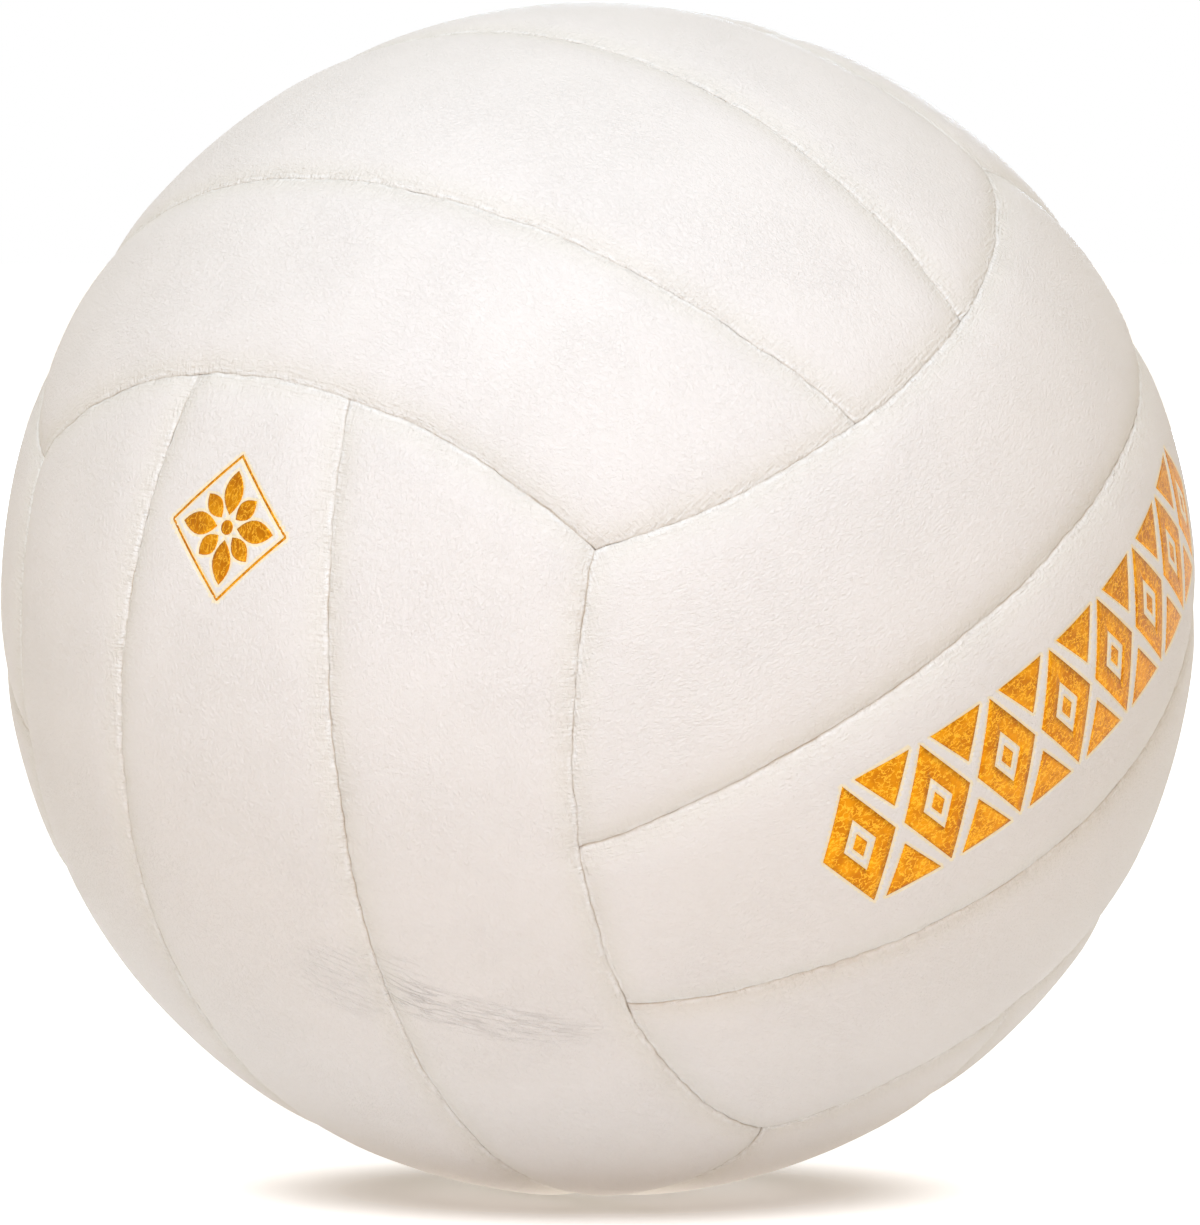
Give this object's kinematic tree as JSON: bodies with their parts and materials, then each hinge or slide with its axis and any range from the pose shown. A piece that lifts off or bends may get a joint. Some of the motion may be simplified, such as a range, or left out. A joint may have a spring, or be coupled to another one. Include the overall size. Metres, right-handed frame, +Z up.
{
  "type": "volleyball",
  "caption": "Inflatable volleyball with cushioned leather-look strips sewn in criss-crossed groups around a rubber bladder with a needle valve.",
  "frame": {"origin": "centre of the ball", "axes": "+X to the right in the picture, +Y away from the viewer, +Z up; -Z points to the spot on which the ball lies"},
  "size_m": [0.21, 0.21, 0.21],
  "materials": {
    "cover": "soft matt synthetic leather with a fine pebble grain",
    "cushion": "thin sponge foam",
    "lining": "woven cotton and polyester cloth",
    "thread": "waxed polyester sewing thread",
    "bladder": "matt butyl rubber",
    "valve_rubber": "pale moulded rubber",
    "valve_core": "pale soft rubber"
  },
  "bodies": {
    "root": {"top_panel_1": "cover", "top_panel_2": "cover", "top_panel_3": "cover", "top_foam_1": "cushion", "top_foam_2": "cushion", "top_foam_3": "cushion", "top_lining": "lining", "top_stitching": "thread", "left_panel_1": "cover", "left_panel_2": "cover", "left_panel_3": "cover", "left_foam_1": "cushion", "left_foam_2": "cushion", "left_foam_3": "cushion", "left_lining": "lining", "left_stitching": "thread", "right_panel_1": "cover", "right_panel_2": "cover", "right_panel_3": "cover", "right_foam_1": "cushion", "right_foam_2": "cushion", "right_foam_3": "cushion", "right_lining": "lining", "right_stitching": "thread", "bottom_panel_1": "cover", "bottom_panel_2": "cover", "bottom_panel_3": "cover", "bottom_foam_1": "cushion", "bottom_foam_2": "cushion", "bottom_foam_3": "cushion", "bottom_lining": "lining", "bottom_stitching": "thread", "back_right_panel_1": "cover", "back_right_panel_2": "cover", "back_right_panel_3": "cover", "back_right_foam_1": "cushion", "back_right_foam_2": "cushion", "back_right_foam_3": "cushion", "back_right_lining": "lining", "back_right_stitching": "thread", "back_left_panel_1": "cover", "back_left_panel_2": "cover", "back_left_panel_3": "cover", "back_left_foam_1": "cushion", "back_left_foam_2": "cushion", "back_left_foam_3": "cushion", "back_left_lining": "lining", "back_left_stitching": "thread", "bladder": "bladder", "valve_housing": "valve_rubber", "valve_core": "valve_core", "valve_patch": "lining"}
  },
  "joints": []
}
